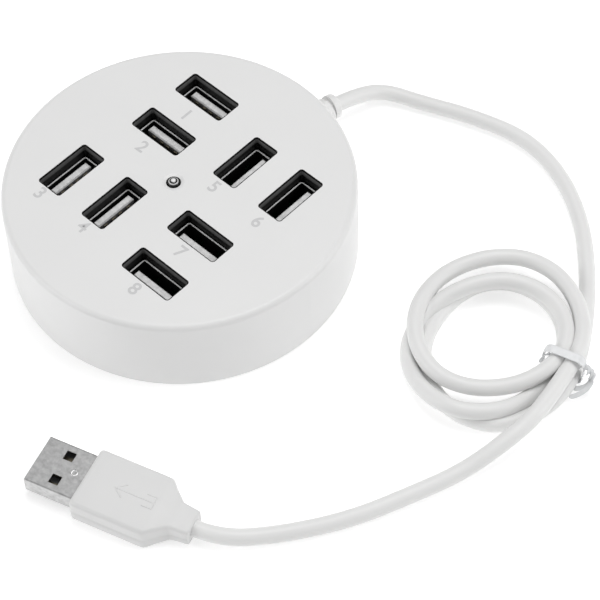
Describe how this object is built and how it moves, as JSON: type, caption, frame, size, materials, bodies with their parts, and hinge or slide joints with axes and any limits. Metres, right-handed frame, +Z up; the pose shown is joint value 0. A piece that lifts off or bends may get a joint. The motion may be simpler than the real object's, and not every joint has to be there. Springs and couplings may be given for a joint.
{
  "type": "usb hub",
  "caption": "Low round white USB hub with pairs of upright USB-A sockets in its top, a small indicator light, and a captive cable, coiled and tied, ending in a USB-A plug.",
  "frame": {"origin": "on the surface the hub stands on, under the middle of the round housing", "axes": "+Z up; +Y from the middle of the housing towards the side where the cable comes out; +X to the right of that, towards the tied coil"},
  "size_m": [0.1374, 0.1491, 0.0223],
  "materials": {
    "housing": "satin white moulded plastic",
    "base": "matt white moulded plastic",
    "rubber": "matt grey rubber",
    "screw": "nickel plated",
    "liner": "black moulded plastic",
    "socket_shell": "nickel plated sheet",
    "tongue": "white moulded plastic",
    "contact": "gold plated",
    "board": "green solder mask",
    "chip": "black moulded package",
    "can": "bare aluminium",
    "led": "clear moulded lens",
    "wire": "coloured wire insulation",
    "cable": "soft white jacket",
    "plug_body": "soft white overmould",
    "plug_shell": "nickel plated sheet",
    "tie": "milky clear coated strip"
  },
  "bodies": {
    "root": {"top_cover": "housing", "bottom_cover": "base", "rubber_feet": "rubber", "case_screws": "screw", "board_screws": "screw", "circuit_board": "board", "hub_controllers": "chip", "crystals": "can", "capacitors": "can", "resistors": "chip", "led_lens": "led", "led_leads": "screw", "strain_relief": "cable", "cable_tail": "cable", "cable_wires": "wire", "cable_lead": "cable", "cable_run": "cable", "cable_coil": "cable", "twist_tie": "tie", "plug_overmold": "plug_body", "plug_shell": "plug_shell", "plug_insulator": "tongue", "plug_contacts": "contact", "socket_shroud_1": "liner", "socket_shell_1": "socket_shell", "socket_insulator_1": "tongue", "socket_contacts_1": "contact", "socket_shroud_2": "liner", "socket_shell_2": "socket_shell", "socket_insulator_2": "tongue", "socket_contacts_2": "contact", "socket_shroud_3": "liner", "socket_shell_3": "socket_shell", "socket_insulator_3": "tongue", "socket_contacts_3": "contact", "socket_shroud_4": "liner", "socket_shell_4": "socket_shell", "socket_insulator_4": "tongue", "socket_contacts_4": "contact", "socket_shroud_5": "liner", "socket_shell_5": "socket_shell", "socket_insulator_5": "tongue", "socket_contacts_5": "contact", "socket_shroud_6": "liner", "socket_shell_6": "socket_shell", "socket_insulator_6": "tongue", "socket_contacts_6": "contact", "socket_shroud_7": "liner", "socket_shell_7": "socket_shell", "socket_insulator_7": "tongue", "socket_contacts_7": "contact", "socket_shroud_8": "liner", "socket_shell_8": "socket_shell", "socket_insulator_8": "tongue", "socket_contacts_8": "contact"}
  },
  "joints": []
}
